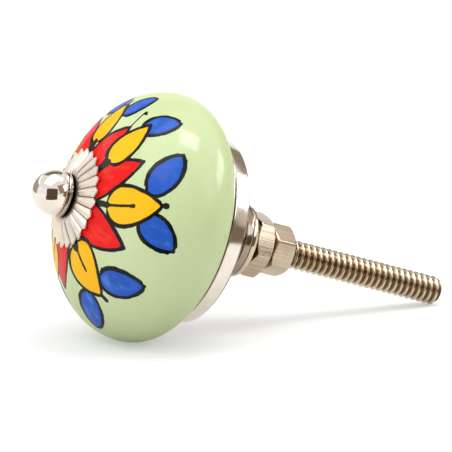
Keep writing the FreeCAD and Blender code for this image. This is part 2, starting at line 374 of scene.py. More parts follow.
def new_group(name, inputs, outputs):
    """Empty node group. inputs and outputs are name and kind of socket."""
    group = bpy.data.node_groups.new(name, "ShaderNodeTree")
    for title, kind in inputs:
        group.interface.new_socket(title, in_out="INPUT", socket_type="NodeSocket" + kind)
    for title, kind in outputs:
        group.interface.new_socket(title, in_out="OUTPUT", socket_type="NodeSocket" + kind)
    given = group.nodes.new("NodeGroupInput")
    result = group.nodes.new("NodeGroupOutput")
    return group, Tree(group), given, result


def inked_shape():
    """Fill and outline of a painted shape, from the distance to its edge."""
    group, tree, given, result = new_group(
        "Inked shape",
        (("Distance", "Float"), ("Line", "Float")),
        (("Fill", "Float"), ("Ink", "Float")))
    distance = given.outputs["Distance"]
    line = given.outputs["Line"]
    fill = tree.remap(distance, 0.03, -0.03)
    off_line = tree.math("SUBTRACT", tree.math("ABSOLUTE", distance), line)
    ink = tree.remap(off_line, 0.05, -0.05)
    tree.feed(result.inputs["Fill"], fill)
    tree.feed(result.inputs["Ink"], ink)
    return group


def plated_metal():
    """Plate with faint clouds in its colour and its shine, and fine handling marks."""
    group, tree, given, result = new_group(
        "Plated metal",
        (("Plate", "Color"), ("Cloud", "Color"), ("Smooth", "Float"), ("Rough", "Float")),
        (("Colour", "Color"), ("Roughness", "Float"), ("Marks", "Float")))
    where = tree.add("TexCoord").outputs["Object"]
    clouds = tree.noise(where, 420.0, 3.0, 0.6)
    tree.feed(result.inputs["Colour"],
              tree.mix(tree.remap(clouds, 0.35, 0.75), given.outputs["Plate"],
                       given.outputs["Cloud"]))
    grain = tree.noise(where, 2600.0, 4.0, 0.65)
    spread = tree.remap(grain, 0.3, 0.7)
    span = tree.math("SUBTRACT", given.outputs["Rough"], given.outputs["Smooth"])
    tree.feed(result.inputs["Roughness"],
              tree.math("MULTIPLY_ADD", span, spread, given.outputs["Smooth"]))
    tree.feed(result.inputs["Marks"], tree.noise(where, 9000.0, 3.0, 0.7))
    return group


def tool_lines():
    """Fine parallel lines along one direction of a stretched vector."""
    group, tree, given, result = new_group(
        "Tool lines", (("Vector", "Vector"),), (("Height", "Float"),))
    coarse = tree.noise(given.outputs["Vector"], 1.0, 5.0, 0.72)
    tree.feed(result.inputs["Height"], tree.remap(coarse, 0.25, 0.75))
    return group


def shared(name, build):
    """Node group, built the first time that it is asked for."""
    return bpy.data.node_groups.get(name) or build()


def new_material(name):
    material = bpy.data.materials.new(name)
    material.use_nodes = True
    shader = material.node_tree.nodes["Principled BSDF"]
    return material, Tree(material.node_tree), shader


# Ceramic

# Each painted shape: direction of its base, reach of its base, direction of its tip,
# reach of its tip, half width. Directions are degrees from +X towards +Z, and reaches are
# millimetres over the surface from the front pole.
RED_PETALS = (
    (-101, 6.1, -98.5, 15.2, 3.3),
    (-22, 5.2, -19, 15.8, 3.2),
    (28, 5.5, 35, 16.0, 2.9),
    (69, 6.2, 67, 14.9, 2.6),
    (118, 6.4, 118, 15.8, 3.0),
    (170, 6.2, 169, 16.2, 3.2),
    (-143, 6.2, -144, 15.8, 3.2),
)
YELLOW_PETALS = (
    (-60, 7.6, -55, 17.2, 3.6),
    (4, 10.0, 9.7, 19.8, 3.15),
    (47.5, 9.6, 59.5, 17.9, 2.4),
    (92.5, 9.2, 96, 17.9, 2.6),
    (144, 9.6, 145, 18.5, 3.0),
    (196, 9.2, 194, 18.6, 3.2),
    (-122, 8.6, -121, 17.4, 3.1),
)
BLUE_LEAVES = (
    (-64.5, 15.2, -81.5, 21.7, 2.35),
    (-47.5, 14.7, -31, 21.4, 2.2),
    (2, 16.8, -9.5, 23.2, 2.2),
    (15.5, 17.1, 36, 22.2, 2.2),
    (59, 16.3, 55, 22.5, 2.05),
    (85.5, 15.3, 83, 21.4, 1.9),
    (102, 15.7, 114, 21.8, 2.1),
    (139, 16.4, 125, 22.5, 2.1),
    (150, 16.4, 165, 22.0, 2.2),
    (189, 16.6, 177, 22.6, 2.2),
    (199, 16.6, 214, 22.0, 2.1),
    (-126, 15.6, -140, 21.8, 2.1),
    (-116, 15.6, -104, 21.8, 2.2),
)
# Stamens, stems and beads: the same, with the half width of the stroke
STROKES = (
    (-61, 6.8, -59.5, 8.2, 0.85),
    (-58.5, 8.4, -56.3, 12.6, 0.25),
    (-55, 17.1, -54.4, 18.2, 0.42),
    (4.5, 6.3, 4.1, 10.2, 0.5),
    (4.1, 10.2, 7, 14.9, 0.24),
    (7, 14.9, 7.1, 15.1, 0.36),
    (10, 20.2, 10.1, 20.4, 0.5),
    (48, 7.6, 47.2, 9.5, 0.7),
    (67, 14.8, 72.4, 18.0, 0.17),
    (72.4, 18.0, 70.2, 18.2, 0.3),
    (93.5, 8.0, 92.4, 9.3, 0.8),
    (96, 17.8, 96.4, 18.8, 0.36),
    (144, 7.6, 144, 9.6, 0.7),
    (144.3, 9.6, 144.7, 14.0, 0.25),
    (145, 18.5, 145.2, 19.5, 0.42),
    (196, 7.6, 196, 9.2, 0.7),
    (196, 9.2, 195, 13.8, 0.25),
    (194, 18.6, 193.8, 19.6, 0.42),
    (-122, 7.0, -122, 8.6, 0.7),
    (-122, 8.6, -121.4, 13.2, 0.25),
    (-121, 17.4, -120.8, 18.4, 0.42),
)


# Reach in millimetres between which the bun is painted, and a distance that is nowhere
# near a painted shape
PAINT_FROM = 4.0
PAINT_TO = 26.5
FAR_OFF = 9.0
# Width in millimetres of the painted shadow line where the bun stands on the base
FOOT_SHADOW_LINE = 0.32


def petal_width(along, blunt, point):
    """Share of the half width, for a shape pointed at its tip."""
    top = blunt / (blunt + point)
    peak = top ** blunt * (1 - top) ** point
    return along ** blunt * (1 - along) ** point / peak


WIDTHS = {
    "red": lambda along: 1 - along ** 2.7,
    "yellow": lambda along: petal_width(along, 0.56, 0.92),
    "blue": lambda along: petal_width(along, 0.58, 0.70),
}


def shape_distance(shape, kind, angle, reach, radius, tip_radius):
    """Distance in millimetres to the edge of a painted shape, less than 0 inside it."""
    base_angle, base_reach, tip_angle, tip_reach, half_width = shape
    rise = tip_reach - base_reach
    share = (reach - base_reach) / rise
    middle = base_angle + (tip_angle - base_angle) * min(max(share, -0.5), 1.5)
    aside = (angle - middle + 180) % 360 - 180
    if abs(aside) > 60:
        return FAR_OFF
    across = math.radians(aside) * radius
    lean = math.atan2(math.radians(tip_angle - base_angle) * tip_radius, rise)
    length = rise / math.cos(lean)
    along = share + across * math.sin(lean) / length
    across *= math.cos(lean)
    held = min(max(along, 0.0), 1.0)
    over = (along - held) * length
    if kind == "stroke":
        return math.hypot(across, over) - half_width
    if over:
        return math.hypot(across, over)
    width = WIDTHS[kind]
    step = 0.02
    slope = (width(min(held + step, 1)) - width(max(held - step, 0))) / (2 * step)
    flank = math.hypot(1.0, half_width * slope / length)
    return (abs(across) - half_width * width(held)) / min(flank, 2.2)


def ceramic_outline(sizes):
    """Outline of the bun from the seat of the washer to its foot: radius, place, reach."""
    radius = widest("ceramic_body")
    front_y, foot_y = ends("ceramic_body")
    swell = sizes.front_swell / MM
    depth = sizes.back_depth / MM
    power = sizes.back_power
    foot = sizes.foot_radius / MM
    middle_y = foot_y - depth
    back_swell = depth / (1 - (foot / radius) ** power) ** (1 / power)

    outline = []
    reach = 0.0
    previous = None
    seat = math.acos((middle_y - front_y) / swell)
    steps = 400
    for step in range(steps + 1):
        turn = math.pi / 2 * step / steps
        point = (radius * math.sin(turn), middle_y - swell * math.cos(turn))
        if previous:
            reach += math.hypot(point[0] - previous[0], point[1] - previous[1])
        previous = point
        if turn >= seat and step % 5 == 0:
            outline.append((*point, reach))
    for step in range(1, 31):
        back = depth * math.sin(math.pi / 2 * step / 30)
        share = (back / back_swell) ** power
        point = (radius * (1 - share) ** (1 / power), middle_y + back)
        reach += math.hypot(point[0] - previous[0], point[1] - previous[1])
        previous = point
        outline.append((*point, reach))
    return outline


def tip_radius_of(shape, outline):
    """Radius of the bun at the tip of a painted shape."""
    return min(outline, key=lambda item: abs(item[2] - shape[3]))[0]


def make_ceramic(sizes, paint):
    """Bun with its painted shapes and the painted shadow line at its foot, kept as distances on its
    points.
    """
    outline = ceramic_outline(sizes)
    front_y, foot_y = ends("ceramic_body")
    bore = 3.0
    loop = [(bore, foot_y), (bore, front_y), (outline[0][0] - 0.4, front_y)]
    rings = loop + [item[:2] for item in outline]
    segments = 384
    piece = turned("painted_bun", rings, segments)

    kinds = {"red": RED_PETALS, "yellow": YELLOW_PETALS, "blue": BLUE_LEAVES,
             "stroke": STROKES}
    fields = {kind: [] for kind in kinds}
    brush = []
    reaches = [0.0] * len(loop) + [item[2] for item in outline]
    radii = {shape: tip_radius_of(shape, outline)
             for shapes in kinds.values() for shape in shapes}
    for (radius, _), reach in zip(rings, reaches):
        for k in range(segments):
            angle = 360.0 * k / segments
            turn = math.radians(angle)
            brush += [6 * math.cos(turn), 0.16 * reach, 6 * math.sin(turn)]
            for kind, shapes in kinds.items():
                if PAINT_FROM < reach < PAINT_TO:
                    distance = min(
                        shape_distance(shape, kind, angle, reach, radius, radii[shape])
                        for shape in shapes)
                # Outside the painted band, the stroke field keeps only the painted shadow line at
                # the foot
                elif kind == "stroke":
                    distance = reaches[-1] - reach - FOOT_SHADOW_LINE
                else:
                    distance = FAR_OFF
                fields[kind].append(distance)
    for kind, values in fields.items():
        keep_values(piece, kind, values)
    keep_vectors(piece, "brush", brush)
    place(piece, "ceramic_body", painted_glaze(paint))


def painted_glaze(paint):
    """Glossy glaze over a hand-painted motif."""
    material, tree, shader = new_material("painted_glaze")
    shape_group = shared("Inked shape", inked_shape)

    def read(name, output):
        return tree.add("Attribute", attribute_name=name).outputs[output]

    where = tree.add("TexCoord").outputs["Object"]
    brush = read("brush", "Vector")
    shake = tree.math("MULTIPLY_ADD", tree.noise(where, 900.0, 3.0), 0.30, -0.15)
    pressure = tree.noise(where, 260.0, 2.0)
    line = tree.math("MULTIPLY_ADD", pressure, 0.30, paint.outline / MM - 0.15)

    glaze_cloud = tree.noise(where, 70.0, 3.0, 0.55)
    colour = tree.mix(tree.remap(glaze_cloud, 0.3, 0.75), paint.glaze, paint.glaze_deep)
    speck = tree.remap(tree.noise(where, 1500.0, 2.0), 0.70, 0.80)
    colour = tree.mix(tree.math("MULTIPLY", speck, 0.18), colour, (0.42, 0.46, 0.17))

    streaks = tree.noise(brush, 2.3, 4.0, 0.6)
    bold = tree.noise(brush, 1.1, 2.0, 0.5)
    ink_colour = tree.mix(tree.remap(streaks, 0.45, 0.75), paint.ink,
                          (0.020, 0.024, 0.016))
    relief = 0.0
    # Paint, full colour, thinner colour, and the streaks from which it thins
    layers = (
        ("blue", paint.blue, paint.blue_thin, 0.42, 0.66),
        ("red", paint.red, paint.red_thin, 0.44, 0.68),
        ("yellow", paint.yellow, paint.amber, 0.50, 0.78),
    )
    for kind, full, thin, low, high in layers:
        distance = tree.math("ADD", read(kind, "Fac"), shake)
        shape = tree.group(shape_group, Distance=distance, Line=line)
        inside = tree.remap(distance, -0.3, -1.5)
        stroke = tree.remap(streaks, low, high)
        if kind == "yellow":
            stroke = tree.math("MULTIPLY", stroke, tree.math("SUBTRACT", 1.0, inside))
        else:
            stroke = tree.math("MULTIPLY", stroke, tree.remap(bold, 0.3, 0.6))
            stroke = tree.math("MULTIPLY", stroke, inside)
        body = tree.mix(stroke, full, thin)
        colour = tree.mix(shape.outputs["Fill"], colour, body)
        colour = tree.mix(shape.outputs["Ink"], colour, ink_colour)
        relief = tree.math("MAXIMUM", relief, tree.math(
            "MULTIPLY_ADD", shape.outputs["Fill"], 0.5, shape.outputs["Ink"]))
    # Dark paint of the stamens, stems and beads, and the painted shadow line at the bun's foot
    strokes = tree.math("MULTIPLY_ADD", shake, 0.6, read("stroke", "Fac"))
    drawn = tree.remap(strokes, 0.05, -0.07)
    colour = tree.mix(drawn, colour, (0.022, 0.019, 0.010))
    relief = tree.math("MAXIMUM", relief, drawn)

    tree.feed(shader.inputs["Base Color"], colour)
    tree.feed(shader.inputs["Roughness"], tree.remap(streaks, 0.2, 0.8, 0.30, 0.42))
    tree.feed(shader.inputs["Normal"], tree.bump(relief, 0.00004, 0.35))
    shader.inputs["Specular IOR Level"].default_value = 0.0
    shader.inputs["Coat Weight"].default_value = 0.38
    shader.inputs["Coat Roughness"].default_value = 0.13
    shader.inputs["Coat IOR"].default_value = 1.45
    return material


# Nickel

def nickel(name, colour, shade_and_lines, smooth, rough, stretch, line_height, line_shade=0.0):
    """Nickel plate with tool lines. stretch sets how the lines run and how fine they are."""
    material, tree, shader = new_material(name)
    cloud = [part * 0.93 for part in colour]
    plate = tree.group(shared("Plated metal", plated_metal), Plate=tuple(colour),
                       Cloud=(cloud[0], cloud[1] * 0.99, cloud[2] * 0.96),
                       Smooth=smooth, Rough=rough)
    where = tree.add("Attribute", attribute_name="lathe").outputs["Vector"]
    lines = tree.group(shared("Tool lines", tool_lines),
                       Vector=tree.stretch(where, stretch))
    height = tree.math("MULTIPLY_ADD", plate.outputs["Marks"], 0.35,
                       lines.outputs["Height"])
    scored = tree.math("MULTIPLY", lines.outputs["Height"], line_shade)
    shade = tree.mix(scored, plate.outputs["Colour"], tuple(shade_and_lines))
    # Painted shade: the root attribute darkens gaps, hollows and corners towards the shade colour
    depth = tree.add("Attribute", attribute_name="root").outputs["Fac"]
    shade = tree.mix(tree.remap(depth, 0.30, 1.0), shade, tuple(shade_and_lines))
    tree.feed(shader.inputs["Base Color"], shade)
    tree.feed(shader.inputs["Roughness"], plate.outputs["Roughness"])
    tree.feed(shader.inputs["Normal"], tree.bump(height, line_height * MM, 1.0))
    shader.inputs["Metallic"].default_value = 1.0
    return material


def keep_lathe_vector(piece):
    """Keep radius, place and direction on each point, for lines that follow the turning."""
    values = []
    for vertex in piece.data.vertices:
        x, y, z = (part / MM for part in vertex.co)
        radius = math.hypot(x, z)
        values += [radius, y, math.degrees(math.atan2(z, x)) / 10]
    keep_vectors(piece, "lathe", values)


def keep_painted_shade(piece, shade_of):
    """Keep the painted shade of each point, from its radius and its place on the axis."""
    roots = []
    for vertex in piece.data.vertices:
        x, y, z = (part / MM for part in vertex.co)
        roots.append(shade_of(math.hypot(x, z), y))
    keep_values(piece, "root", roots)


def make_ball(sizes, metal):
    """Polished ball on a rounded ring, with a short neck."""
    pole_y, hub_y = ends("ball_finial")
    ring = widest("ball_finial")
    ball = sizes.ball_radius / MM
    centre_y = pole_y + ball
    neck = 3.0
    neck_length = 0.35
    ring_width = 0.8
    ring_back = hub_y - neck_length
    ring_front = ring_back - ring_width
    lip_y = ring_front - 0.15
    lip_turn = math.asin((lip_y - centre_y) / ball)
    outline = []
    steps = 80
    for step in range(steps + 1):
        turn = -math.pi / 2 + (lip_turn + math.pi / 2) * step / steps
        outline.append((ball * math.cos(turn), centre_y + ball * math.sin(turn)))
    outline[0] = (0.0, pole_y)
    groove = outline[-1][0] - 0.22
    outline += arc_through((groove, ring_front), (ring, ring_front + ring_width / 2),
                           (groove, ring_back), 28)
    outline += softened([(groove, ring_back, 0), (neck, ring_back, 0.06),
                         (neck, hub_y, 0.04), (2.4, hub_y, 0), (2.1, hub_y - 0.5, 0)],
                        closed=False)[1:]
    outline.append((0.0, hub_y - 3.8))
    piece = turned("polished_ball", outline, 224, closed=False, sharp_degrees=40)

    def shade_of(reach, y):
        """Painted shade, black behind the ring and dark in the groove before it, and a painted dark
        reflection on the ring.
        """
        if y > ring_back - 0.04:
            return 1.0
        in_groove = 1 - abs(y - ring_front) / 0.16
        return max(0.66 if y > lip_y else 0.0, in_groove)

    keep_painted_shade(piece, shade_of)
    keep_lathe_vector(piece)
    material = nickel("polished_nickel", metal.polished, metal.gap_shade, smooth=0.035,
                      rough=0.09, stretch=(9.0, 9.0, 0.05), line_height=0.0006)
    place(piece, "ball_finial", material)


def make_fluted_washer(sizes, metal):
    """Pressed flower washer: broad flutes with sharp valleys and pointed ends."""
    rim = widest("fluted_washer")
    hub_front = ends("ball_finial")[1]
    hub_thickness = 0.45
    hub_back = hub_front + hub_thickness
    hub = 3.5
    point_length = 1.0
    valley = rim - point_length
    bun = widest("ceramic_body")
    middle_y = ends("ceramic_body")[1] - sizes.back_depth / MM
    dome = middle_y - sizes.front_swell / MM * math.sqrt(1 - (valley / bun) ** 2)
    sheet = sizes.sheet / MM
    root_drop = 0.075
    root_y = hub_front + root_drop
    clearance = 0.02
    rim_y = dome - clearance - sheet
    height = sizes.flute_height / MM
    across = 22
    columns = sizes.flutes * across
    rows = 24

    points = []
    folds = []
    rings = []
    for side in (0, 1):
        order = range(rows + 1) if side == 0 else range(rows, -1, -1)
        for row in order:
            t = (row / rows) ** 1.3
            ring = []
            for column in range(columns):
                even = (column % across) / across * 2 - 1
                # More columns near the valleys, where the sheet bends most
                phase = math.copysign(1 - (1 - abs(even)) ** 1.5, even)
                flute = column // across + 0.5 + phase / 2
                angle = sizes.flute_turn + 2 * math.pi * (flute - 0.5) / sizes.flutes
                bulge = 1 - 0.45 * abs(phase) - 0.55 * abs(phase) ** 4
                point = 1 - abs(phase) ** 1.15
                edge = valley + (rim - valley) * point
                radius = hub - 0.05 + (edge - hub + 0.05) * t
                knuckle = math.sin(math.pi / 2 * min(t / 0.25, 1.0))
                lift = height * bulge * knuckle * (1 - 0.45 * t * t)
                y = root_y + (rim_y - root_y) * t - lift + sheet * side
                ring.append(len(points))
                points.append((radius * math.cos(angle), y, radius * math.sin(angle)))
                # Painted shade: dark lines along the valleys and dark near the hub
                folds.append(max(0.95 * abs(phase) ** 6, (1 - t) ** 36))
            rings.append(ring)
    rings.append(rings[0])
    skirt = finish_mesh("flower_washer", points, stitch(rings), 38)
    plate = turned("flower_washer_hub", softened([
        (CLEAR_HOLE, hub_back, 0), (CLEAR_HOLE, hub_front, 0.05), (hub, hub_front, 0.08),
        (hub, hub_back, 0)]), 160)
    keep_values(skirt, "root", folds)
    # Painted shade: the hub is dark all over, in the shadow of the ball's ring
    keep_painted_shade(plate, lambda reach, y: 1.0)
    with bpy.context.temp_override(active_object=skirt, object=skirt,
                                   selected_editable_objects=[skirt, plate],
                                   selected_objects=[skirt, plate]):
        bpy.ops.object.join()
    keep_lathe_vector(skirt)
    material = nickel("satin_nickel", metal.satin, metal.gap_shade, smooth=0.30, rough=0.42,
                      stretch=(0.7, 0.7, 14.0), line_height=0.0018, line_shade=0.12)
    place(skirt, "fluted_washer", material)


def make_base(metal):
    """Turned base: carrying face, bevelled rim, hollow sweep to the waist, foot."""
    front_y = ends("base_dish")[0]
    radius = widest("base_dish")
    soft = 0.45
    band_front = (radius, front_y + soft)
    band_back = (radius - 0.4, front_y + 2.8)
    bulge = (radius - 0.185, (band_front[1] + band_back[1]) / 2)
    rear_edge = (band_back[0] - 0.3, band_back[1] + 0.3)
    waist = (4.4, -2.4)
    foot = 6.1
    sweep = (waist[0] + (rear_edge[0] - waist[0]) * 0.36,
             rear_edge[1] + (waist[1] - rear_edge[1]) * 0.30)
    corner = soft * (1 - math.sqrt(0.5))
    front_round = arc_through((radius - soft, front_y),
                              (radius - corner, front_y + corner), band_front, 14)
    outline = [(CLEAR_HOLE, front_y + 0.5), (7.0, front_y + 0.5), (7.0, front_y),
               (10.5, front_y), (radius - soft - 0.1, front_y)]
    outline += front_round
    outline += arc_through(band_front, bulge, band_back, 16)[1:-1]
    outline += softened([(*outline[-1], 0), (*band_back, 0.05), (*rear_edge, 0)],
                        closed=False)[1:]
    outline += arc_through(rear_edge, sweep, waist, 60)[1:]
    outline += softened([(*waist, 0), (5.75, -1.3, 0.12), (foot, -1.3, 0.3),
                         (foot, 0, 0.3), (CLEAR_HOLE, 0, 0)], closed=False)[1:]
    piece = turned("turned_base", outline, 256, sharp_degrees=38)

    def shade_of(reach, y):
        """Painted shade against the bun, in the waist and at the foot, and a painted dark
        reflection at the band's rear edge.
        """
        at_front = 1.5 - (y - front_y) / soft
        at_edge = 0.85 if band_back[1] - 0.02 < y < rear_edge[1] + 0.02 else 0.0
        at_waist = min((9.5 - reach) / 3.0, 0.75)
        at_foot = 1.0 if reach > 4 and y > -0.12 else 0.0
        return min(max(at_front, at_edge, at_waist, at_foot, 0.0), 1.0)

    keep_painted_shade(piece, shade_of)
    keep_lathe_vector(piece)
    material = nickel("turned_nickel", metal.polished, metal.shade_and_lines, smooth=0.10,
                      rough=0.17, stretch=(7.0, 7.0, 0.05), line_height=0.0010)
    place(piece, "base_dish", material)


def make_collar(metal):
    """Washer with a straight rim and a domed back."""
    radius = widest("collar_washer")
    back_y = ends("collar_washer")[1]
    rim = 0.45
    slope = 0.9
    crown = radius - slope
    dome = arc_through((radius, rim), (crown + slope * 0.7, rim + (back_y - rim) * 0.7),
                       (crown, back_y), 12)
    outline = [(CLEAR_HOLE, back_y), (CLEAR_HOLE, 0.0)]
    outline += softened([(CLEAR_HOLE, 0, 0), (radius, 0, 0.08), (radius, rim, 0)],
                        closed=False)[1:]
    outline += dome[1:]
    piece = turned("domed_washer", outline, 192, sharp_degrees=38)
    # Painted shade where the washer meets the base and the nut, faint elsewhere
    keep_painted_shade(piece, lambda reach, y: max(1.0 - y / 0.15, 1.0 - (back_y - y) / 0.25, 0.35))
    keep_lathe_vector(piece)
    material = nickel("collar_nickel", metal.warm, metal.shade_and_lines, smooth=0.07, rough=0.16,
                      stretch=(6.0, 6.0, 0.05), line_height=0.0012)
    place(piece, "collar_washer", material)


def make_nut(name, node, flats, turn, front_share, gap_shade, material):
    """Hexagonal nut with bowed flats. front_share is how much of its front is flat face."""
    front_y, back_y = ends(node)
    inner = flats / 2
    corner = inner / math.cos(math.pi / 6)
    slope = math.tan(math.radians(30))
    soft = 0.12
    bow = 0.06
    lead_in = 2.50
    lead_depth = 0.42
    per_side = 18
    points = []
    rings = []
    roots = []

    def loop(radius_of, y_of, root=0.0):
        start = len(points)
        for k in range(6 * per_side):
            share = (k % per_side) / per_side
            bent = share - 0.10 * math.sin(2 * math.pi * share)
            angle = turn + (k // per_side + bent) * math.pi / 3
            away = abs(bent * 2 - 1)
            hexagon = inner / math.cos(away * math.pi / 6) - bow * away ** 2
            hexagon = min(hexagon, corner - soft)
            radius = radius_of(hexagon)
            points.append((radius * math.cos(angle), y_of(hexagon),
                           radius * math.sin(angle)))
            roots.append(root)
        rings.append(list(range(start, start + 6 * per_side)))

    def end(y, inward, face, dark):
        """Loops of one end, from its face outwards."""
        # Last number of each loop is its painted shade: full in the hole, as given on the front
        # face
        return (
            (lambda h: TAPPED_HOLE, lambda h: y + inward * lead_depth, 1.0),
            (lambda h: lead_in, lambda h: y, 1.0),
            (lambda h: face - 0.06, lambda h: y, dark),
            (lambda h: face + 0.04, lambda h: y + inward * 0.03, dark),
            (lambda h: h - 0.05, lambda h: y + inward * ((h - 0.05 - face) * slope + 0.02),
             dark * 0.7),
            (lambda h: h, lambda h: y + inward * ((h - face) * slope + 0.10), 0.0),
            (lambda h: h, lambda h: y + inward * ((h - face) * slope + 0.30), 0.0),
        )

    middle = (lambda h: TAPPED_HOLE, lambda h: (front_y + back_y) / 2, 1.0)
    loop(*middle)
    for item in end(front_y, 1, front_share * inner, gap_shade):
        loop(*item)
    for item in reversed(end(back_y, -1, 0.85 * inner, 0.0)):
        loop(*item)
    loop(*middle)
    piece = finish_mesh(name, points, stitch(rings), 24)
    keep_values(piece, "root", roots)
    keep_lathe_vector(piece)
    place(piece, node, material)


def make_nuts(sizes, metal):
    """The larger nut that clamps and the smaller one that locks it."""
    material = nickel("drawn_nickel", metal.drawn, metal.gap_shade, smooth=0.12, rough=0.22,
                      stretch=(0.5, 0.12, 2.6), line_height=0.003, line_shade=0.40)
    # Painted shade on the front faces, darkest on the smaller nut in the gap between the two
    make_nut("large_nut", "clamp_nut", sizes.clamp_nut_flats / MM, sizes.clamp_nut_turn,
             front_share=0.84, gap_shade=0.2, material=material)
    make_nut("small_nut", "lock_nut", sizes.lock_nut_flats / MM, sizes.lock_nut_turn,
             front_share=0.78, gap_shade=0.7, material=material)


def make_rod(sizes, metal):
    """Rod with a right-hand thread on its free end, plain inside the knob."""
    front_y, tip_y = ends("threaded_rod")
    hub_y = ends("ball_finial")[1]
    nuts_front = ends("clamp_nut")[0]
    nuts_back = ends("lock_nut")[1]
    crest = widest("threaded_rod")
    pitch = sizes.thread_pitch / MM
    depth = sizes.thread_depth / MM
    # A thread's pitch line lies 0.3248 of the pitch below its crest
    plain = crest - 0.3248 * pitch
    ramp = crest - plain
    chamfer = 0.55
    segments = 72
    step = pitch / 14
    points = []
    roots = []
    rings = []

    def cone(y):
        """Radius that the chamfer of the free end leaves."""
        return crest - chamfer + (tip_y - y)

    def thread(y, turn):
        """Radius of the thread, which runs out towards the nuts, and its painted shade, darker
        towards the thread's root.
        """
        phase = ((y - nuts_back) / pitch + turn / (2 * math.pi)) % 1.0
        wave = 0.5 - 0.5 * math.cos(2 * math.pi * phase)
        radius = crest - depth * min(wave ** 0.8 * 1.04, 1.0)
        radius = min(radius, cone(y), plain + max(y - nuts_back + ramp, 0.0))
        return radius, min(1.1 * (crest - radius) / depth, 1.0)

    def add_ring(y, shape):
        start = len(points)
        for k in range(segments):
            turn = 2 * math.pi * k / segments
            radius, root = shape(y, turn)
            points.append((radius * math.cos(turn), y, radius * math.sin(turn)))
            roots.append(root)
        rings.append(list(range(start, start + segments)))

    def add_pole(y):
        rings.append([len(points)])
        points.append((0.0, y, 0.0))
        roots.append(0.3)

    add_pole(front_y)
    for radius, y in ((plain - chamfer, front_y), (plain, front_y + chamfer),
                      (plain, hub_y - ramp), (crest, hub_y), (crest, nuts_front),
                      (plain, nuts_front + ramp), (plain, nuts_back - ramp - pitch / 2)):
        add_ring(y, lambda y, turn, radius=radius: (radius, 0.2))
    start_y = nuts_back - pitch / 2
    for row in range(int((tip_y - 0.03 - start_y) / step) + 1):
        add_ring(start_y + row * step, thread)
    add_ring(tip_y - 0.01, lambda y, turn: (crest - 0.62, 0.3))
    add_pole(tip_y)
    piece = finish_mesh("coarse_thread", points, stitch(rings), 40)
    keep_values(piece, "root", roots)
    keep_lathe_vector(piece)
    material = nickel("thread_nickel", metal.warm, metal.shade_and_lines, smooth=0.16, rough=0.28,
                      stretch=(2.0, 2.0, 1.0), line_height=0.0012)
    place(piece, "threaded_rod", material)


# Stage

LAMP_COLOUR = (0.95, 0.98, 1.0)
SHINE_COLOUR = (0.86, 0.89, 1.0)
# Middle of the picture, in millimetres
PICTURE_MIDDLE = (1.13, -2.85, 1.78)
# Soft boxes: name, direction and height in degrees, distance, width and height in metres,
# power, and strength of the shine. Directions run from +X towards +Y, over the floor.
SOFT_BOXES = (
    ("overhead_window", 60, 76, 0.58, 0.17, 0.24, 0.5, 18.0),
    ("overhead_box", -75, 74, 0.64, 0.46, 0.66, 1.3, 4.0),
    ("left_box", -93, 13, 0.60, 0.50, 0.28, 0.6, 1.3),
    ("right_box", 77, 25, 0.60, 0.34, 0.17, 0.5, 12.0),
    ("low_right_box", 38, 27.5, 0.60, 0.26, 0.27, 0.1, 2.9),
)
# Cards that the metal mirrors: the same, with a shade in place of power and strength
CARDS = (
    ("camera_card", -38, 13, 0.66, 0.66, 0.44, (0.11, 0.075, 0.05)),
    ("back_left_card", -152, 8, 0.70, 0.76, 0.52, (0.45, 0.41, 0.36)),
    ("high_left_card", -150, 30, 0.69, 0.50, 0.08, (1.9, 2.0, 2.2)),
    ("back_card", 165, 50, 0.80, 0.60, 0.40, (0.25, 0.21, 0.17)),
    ("brown_card", 116, 15, 0.72, 0.52, 0.50, (0.30, 0.25, 0.185)),
    ("right_card", 37, 3, 0.66, 0.46, 0.17, (0.20, 0.15, 0.09)),
    ("right_edge_card", 54, 9, 0.57, 0.11, 0.16, (0.62, 0.56, 0.47)),
    ("right_wall", 18, 26, 0.80, 0.60, 0.60, (0.38, 0.31, 0.23)),
)
# Cards that lie on the floor: name, corners in millimetres across it, and shade
FLOOR_CARDS = (
    ("dark_table", ((23, -88), (270, -700), (690, -165), (61, -43)), (0.11, 0.075, 0.05)),
    ("brown_table", ((74, 11), (700, 110), (380, 650), (53, 43)), (0.20, 0.15, 0.09)),
)


def floor_turn(stage):
    """Turn from upright to the slope of the floor that the loose knob lies on."""
    return Matrix.Rotation(stage.floor_slope, 3, "X")


def around(stage, swing_degrees, rise_degrees, distance):
    """Place at this direction from the knob, measured over the sloping floor."""
    swing = math.radians(swing_degrees)
    rise = math.radians(rise_degrees)
    level = Vector((math.cos(swing) * math.cos(rise), math.sin(swing) * math.cos(rise),
                    math.sin(rise)))
    return floor_turn(stage) @ (level * distance)


def facing(stage, where, target):
    """Turn of an object that looks from one place to another and stays level."""
    back = (where - target).normalized()
    up = floor_turn(stage) @ Vector((0, 0, 1))
    right = up.cross(back).normalized()
    return Matrix((right, back.cross(right), back)).transposed()


def add_soft_box(stage, name, swing, rise, distance, width, height, power, shine):
    """Rectangular lamp turned to the knob. Gloss sees a card of its own in its place."""
    lamp = bpy.data.lights.new(name, "AREA")
    lamp.shape = "RECTANGLE"
    lamp.size = width
    lamp.size_y = height
    lamp.energy = power
    lamp.color = LAMP_COLOUR
    holder = linked(name, lamp)
    where = around(stage, swing, rise, distance)
    holder.location = where
    holder.rotation_euler = facing(stage, where, Vector((0, 0, 0))).to_euler()
    holder.visible_camera = False
    holder.visible_glossy = False
    shade = [shine * part for part in SHINE_COLOUR]
    add_card(stage, name + "_shine", swing, rise, distance, width, height, shade)


